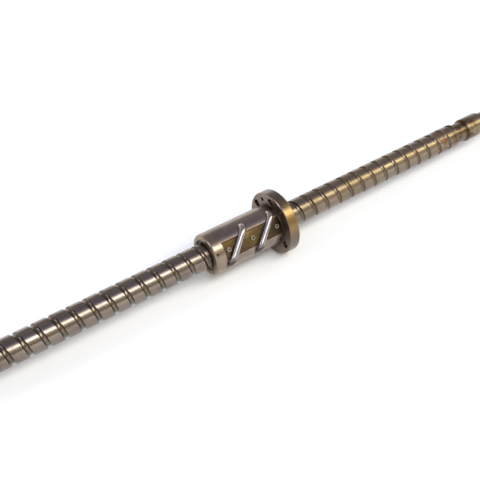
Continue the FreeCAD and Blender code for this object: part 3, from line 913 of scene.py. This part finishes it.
# %% Finish of the balls
def ball_finish():
    """Smooth pale steel with faint clouds."""
    finish, tree, shader, where = new_finish("ball_steel", 1.0)
    cloud = speckle(tree, where, 400, 3, 0.5)
    steel = tinted(tree, mask(tree, cloud, 0.4, 0.7), (0.60, 0.60, 0.61, 1), (0.48, 0.47, 0.46, 1))
    connect(tree, shader, steel, both(tree, both(tree, cloud, 0.12), 0.05, "ADD"))
    return finish


ball_steel = ball_finish()
print("finish:", ball_steel.name)

# %% [markdown]
# ## Rows of balls
# Each circuit has a loaded row in the track and a returning row in the tube. Their places follow the
# helix and the tube's own path. Small subdivided icospheres are round enough for pieces nobody sees
# unless the nut is taken off.

# %% Rows of balls
BALL_R = 2.778
BALL_PITCH = 5.756


def ball_places(number):
    """Middles of one circuit's balls: along the track, then back through the tube."""
    start = FIRST_LEG - number * CIRCUIT_STEP
    turns = CIRCUIT / LEAD
    loaded = int(turns * math.hypot(2 * math.pi * BALL_CIRCLE, LEAD) / BALL_PITCH)
    places = []
    for i in range(loaded):
        turn = turns * (i + 0.5) / loaded
        angle = -2 * math.pi * turn
        y, z = BALL_CIRCLE * math.cos(angle), BALL_CIRCLE * math.sin(angle)
        places.append(Vector((start - LEAD * turn, y, z)))
    path = tube_path(number)
    runs = np.cumsum([0] + [(b - a).length for a, b in zip(path, path[1:])])
    for at in np.linspace(0, runs[-1], int(runs[-1] / BALL_PITCH) + 1):
        places.append(Vector([np.interp(at, runs, [p[axis] for p in path]) for axis in range(3)]))
    return places


work = bmesh.new()
bmesh.ops.create_icosphere(work, subdivisions=3, radius=BALL_R)
ball_points = [v.co.copy() for v in work.verts]
ball_faces = [[v.index for v in face.verts] for face in work.faces]
work.free()
for number in range(2):
    points, faces = [], []
    for middle in ball_places(number):
        faces += [tuple(i + len(points) for i in face) for face in ball_faces]
        points += [p + middle for p in ball_points]
    row = mesh_object(f"ball_row_{number + 1}", points, faces)
    dress(row, "nut", f"ball_train_{number + 1}", ball_steel, sharp=60)

# %% [markdown]
# ## Floor
# The photograph shows the screw on a white ground with a soft shadow under it. A flat plane would end
# in a horizon, so the floor is a wide disc whose rim curves up like a studio sweep. It glows from some
# way off the screw, and only for rays from the camera, from mirrors and through glass: the ground looks
# white to the camera and in the steel, and the shadow under the screw isn't lit up by it. The lamp on
# the right is golden, so the floor is a little cooler on that side and comes out neutral.

# %% Floor
def floor_finish():
    """A pale matt floor, cooler on the golden side, with a glow away from the screw."""
    finish, tree, shader, where = new_finish("pale_floor", 0.0, Roughness=0.9)
    grain = speckle(tree, where, 300, 3, 0.5)
    pale = tinted(tree, grain, (0.93, 0.93, 0.93, 1), (0.97, 0.97, 0.97, 1))
    golden_side = mask(tree, along_axis(tree, where), -0.10, 0.30)
    cooler = put(tree, "Mix", {0: golden_side, 6: pale, 7: (0.970, 0.985, 1.025, 1)},
                 data_type="RGBA", blend_type="MULTIPLY").outputs[2]
    connect(tree, shader, cooler)
    ray = put(tree, "LightPath")
    seen = both(tree, ray.outputs["Is Camera Ray"], ray.outputs["Is Glossy Ray"], "MAXIMUM")
    seen = both(tree, seen, ray.outputs["Is Transmission Ray"], "MAXIMUM")
    away = put(tree, "VectorMath", {0: where}, operation="LENGTH").outputs["Value"]
    near_glow = both(tree, mask(tree, from_axis(tree, where), 0.10, 0.50), 0.35)
    glow = both(tree, near_glow, both(tree, mask(tree, away, 0.6, 3.0), 0.7), "ADD")
    shader.inputs["Emission Color"].default_value = (1, 1, 1, 1)
    tree.links.new(both(tree, seen, glow), shader.inputs["Emission Strength"])
    return finish


FLOOR_Z = -0.0402
FLOOR_STEPS = 72
dish = [(2, 0), (6, 0), (7, 0.08), (8, 0.32), (9, 0.9), (9.6, 2.0)]
points, faces = [], []
for reach, rise in dish:
    for k in range(FLOOR_STEPS):
        turn = 2 * math.pi * k / FLOOR_STEPS
        points.append((reach * math.cos(turn), reach * math.sin(turn), FLOOR_Z + rise))
for i in range(len(dish) - 1):
    inner, outer = i * FLOOR_STEPS, (i + 1) * FLOOR_STEPS
    for k in range(FLOOR_STEPS):
        j = (k + 1) % FLOOR_STEPS
        faces.append((inner + k, outer + k, outer + j, inner + j))
faces.append(tuple(range(FLOOR_STEPS)))
floor_mesh = bpy.data.meshes.new("floor")
floor_mesh.from_pydata(points, [], faces)
floor_mesh.polygons.foreach_set("use_smooth", [True] * len(faces))
floor = bpy.data.objects.new("floor", floor_mesh)
bpy.context.scene.collection.objects.link(floor)
floor_mesh.materials.append(floor_finish())
print("the floor reaches", dish[-1][0], "m out and lies at", FLOOR_Z, "m")

# %% [markdown]
# ## Light
# Bare steel shows what stands around it, so the lamps are soft panels, placed for their mirror images
# in the round bar. A long panel in front of the screw and above it draws the cream streak on the left
# half. A golden one further right draws the gold streak. A small lamp far to the left adds a glint
# from the side.

# %% Lamps
def panel(name, place, target, width, height, watts, colour):
    """A soft rectangular lamp that looks at a point, its width along X."""
    lamp = bpy.data.lights.new(name, "AREA")
    lamp.shape = "RECTANGLE"
    lamp.size, lamp.size_y = width, height
    lamp.energy = watts
    lamp.color = colour
    obj = bpy.data.objects.new(name, lamp)
    bpy.context.scene.collection.objects.link(obj)
    back = (Vector(place) - Vector(target)).normalized()
    across = (Vector((1, 0, 0)) - back * back.x).normalized()
    up = back.cross(across)
    obj.matrix_world = Matrix((
        (across.x, up.x, back.x, place[0]), (across.y, up.y, back.y, place[1]),
        (across.z, up.z, back.z, place[2]), (0, 0, 0, 1)))
    return obj


STREAK_Y = -0.79
STREAK_Z = 1.275
STREAK_HEIGHT = 0.46
GOLD_X = 1.65
panel("cream_streak", (0, STREAK_Y, STREAK_Z), (0, 0, 0),
      width=1.5, height=STREAK_HEIGHT, watts=15, colour=(0.94, 0.98, 1.0))
panel("gold_streak", (GOLD_X, STREAK_Y, STREAK_Z), (GOLD_X, 0, 0),
      width=1.8, height=STREAK_HEIGHT, watts=13, colour=(1.0, 0.91, 0.54))
panel("side_glint", (-1.7, 0.45, 1.4), (0, 0, 0),
      width=0.5, height=0.4, watts=6, colour=(0.92, 0.95, 1.0))
print("lamps:", [lamp.name for lamp in bpy.data.lights])

# %% [markdown]
# ## The room around the steel
# What a round bar mirrors changes quickly across its width, so the room's colours draw its bands. From
# the front horizon over the zenith to the horizon behind, the room goes from a warm dim wall over a
# bright band of cream and white to a cool, dark ceiling and a grey wall. Walls and ceiling could be
# modelled, but a ramp over that one angle gives the same bands with less.

# %% Room
def room():
    """A world whose colour depends on the angle from the front horizon over the zenith."""
    world = bpy.data.worlds.new("room")
    world.use_nodes = True
    tree = world.node_tree
    toward = put(tree, "SeparateXYZ", {0: put(tree, "TexCoord").outputs["Generated"]})
    front = both(tree, toward.outputs[1], -1.0)
    angle = both(tree, toward.outputs[2], front, "ARCTAN2")
    ramp = put(tree, "ValToRGB", {0: both(tree, angle, 1 / math.pi)})
    colours = {0.0: (0.40, 0.35, 0.31), 0.12: (0.44, 0.37, 0.26), 0.22: (0.95, 0.84, 0.60),
               0.31: (1.04, 1.07, 1.10), 0.40: (0.61, 0.62, 0.82), 0.50: (0.26, 0.25, 0.42),
               0.64: (0.37, 0.37, 0.42), 1.0: (0.49, 0.49, 0.52)}
    spots = ramp.color_ramp.elements
    while len(spots) < len(colours):
        spots.new(0.5)
    for spot, (place, colour) in zip(spots, colours.items()):
        spot.position = place
        spot.color = (*colour, 1)
    tree.links.new(ramp.outputs[0], tree.nodes["Background"].inputs[0])
    return world


bpy.context.scene.world = room()
print("world:", bpy.context.scene.world.name)

# %% [markdown]
# ## Camera
# The view has to fall together with the photograph's, so the camera was fitted to it once. Its place and
# its directions are written as vectors, from which its matrix is put together. Three angles would do as
# well, but with vectors nobody has to remember in which order the turns come.

# %% Camera
lens = bpy.data.cameras.new("camera")
lens.sensor_width = 36
lens.lens = 57.33
lens.clip_end = 50
camera = bpy.data.objects.new("camera", lens)
bpy.context.scene.collection.objects.link(camera)
forward = Vector((0.43272638, 0.59766066, -0.67494416)).normalized()
right = Vector((0.80998228, -0.58645436, 0)).normalized()
up = right.cross(forward)
eye = Vector((-0.44014, -0.54410, 0.61229))
camera.matrix_world = Matrix((
    (right.x, up.x, -forward.x, eye.x), (right.y, up.y, -forward.y, eye.y),
    (right.z, up.z, -forward.z, eye.z), (0, 0, 0, 1)))
bpy.context.scene.camera = camera
bpy.context.scene.view_settings.view_transform = "Standard"
print("camera at", [round(part, 3) for part in eye], "with a lens of", round(lens.lens, 2), "mm")
